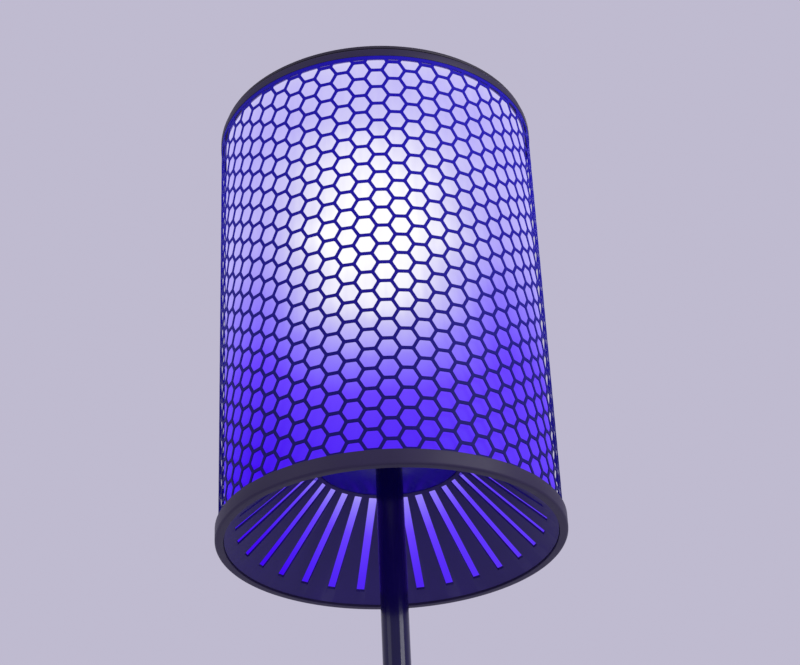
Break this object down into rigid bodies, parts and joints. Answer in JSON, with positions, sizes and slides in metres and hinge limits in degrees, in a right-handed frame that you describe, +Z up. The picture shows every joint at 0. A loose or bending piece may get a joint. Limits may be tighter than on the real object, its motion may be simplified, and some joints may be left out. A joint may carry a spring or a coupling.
{
  "type": "electric bug zapper",
  "caption": "Lantern bug zapper: a cylindrical honeycomb guard over a lit diffuser, a conical slotted underside, a slim pole and a round base.",
  "frame": {"origin": "centre of the base's lower face, on the floor", "axes": "+Z up along the pole; -Y is the front, where the picture's camera stands; +X to the right"},
  "size_m": [0.25, 0.25, 1.0165],
  "materials": {
    "ring_charcoal": "satin",
    "grille_charcoal": "satin",
    "hub_gloss_black": "gloss",
    "guard_paint": "satin",
    "frosted_diffuser": "frosted, lit from inside",
    "uv_tube": "lit tube",
    "dark_housing": "fine texture",
    "tray_grey": "satin",
    "frame_white": "matte",
    "ceramic": "matte",
    "pole_gloss_black": "gloss",
    "base_steel": "brushed",
    "fastener_steel": "zinc plated",
    "fastener_black": "black oxide",
    "grid_steel": "bright",
    "contact_brass": "satin",
    "rubber": "matte",
    "cable_black": "matte",
    "lead_red": "gloss",
    "lead_blue": "gloss",
    "board_green": "lacquered",
    "button_grey": "satin"
  },
  "bodies": {
    "stand": {"base_pad": "rubber", "base_plate": "base_steel", "base_cover": "dark_housing", "base_cover_screws": "fastener_steel", "cord_gland": "rubber", "terminal_block": "ceramic", "pole_flange": "base_steel", "pole_flange_screws": "fastener_steel", "pole_collar": "dark_housing", "pole_lower": "pole_gloss_black", "pole_joiner": "fastener_steel", "pole_upper": "pole_gloss_black", "pole_cable": "cable_black", "pole_plug": "contact_brass"},
    "head": {"pole_socket": "base_steel", "pole_socket_screws": "fastener_steel", "head_jack": "ceramic", "lower_spider": "frame_white", "bottom_ring": "ring_charcoal", "honeycomb_guard": "guard_paint", "diffuser_sleeve": "frosted_diffuser", "top_ring": "ring_charcoal", "electronics_tray": "tray_grey", "tie_rods": "fastener_steel", "tie_rod_spacers": "frame_white", "tie_rod_nuts": "fastener_steel", "lower_insulator": "frame_white", "upper_insulator": "frame_white", "inner_grid_rods": "grid_steel", "outer_grid_rods": "grid_steel", "grid_leads": "lead_red", "lamp_leads": "lead_blue", "supply_lead": "cable_black", "uv_lamp": "uv_tube", "lamp_base": "ceramic", "lamp_socket": "ceramic", "circuit_board": "board_green", "board_standoffs": "contact_brass", "hv_transformer": "contact_brass", "hv_capacitors": "lead_red", "lamp_driver": "ceramic", "power_switch": "dark_housing", "cover_seal": "rubber", "top_cover": "dark_housing", "top_cover_screws": "fastener_black"},
    "grille": {"slotted_grille": "grille_charcoal", "hub_cover": "hub_gloss_black"},
    "button": {"power_button": "button_grey", "button_spring": "fastener_steel"}
  },
  "joints": [
    {"name": "head_lift", "type": "slide", "parent": "stand", "child": "head", "axis": [0, 0, 1], "range_m": [0, 0.05]},
    {"name": "grille_turn", "type": "hinge", "parent": "head", "child": "grille", "pos_m": [0, 0, 0.712], "axis": [0, 0, 1], "range_deg": [0, 18]},
    {"name": "power_button_press", "type": "slide", "parent": "head", "child": "button", "axis": [0, 0, -1], "range_m": [0, 0.002], "stiffness_N_per_m": 400, "springref_m": -0.003, "deforming": ["button_spring"]}
  ]
}
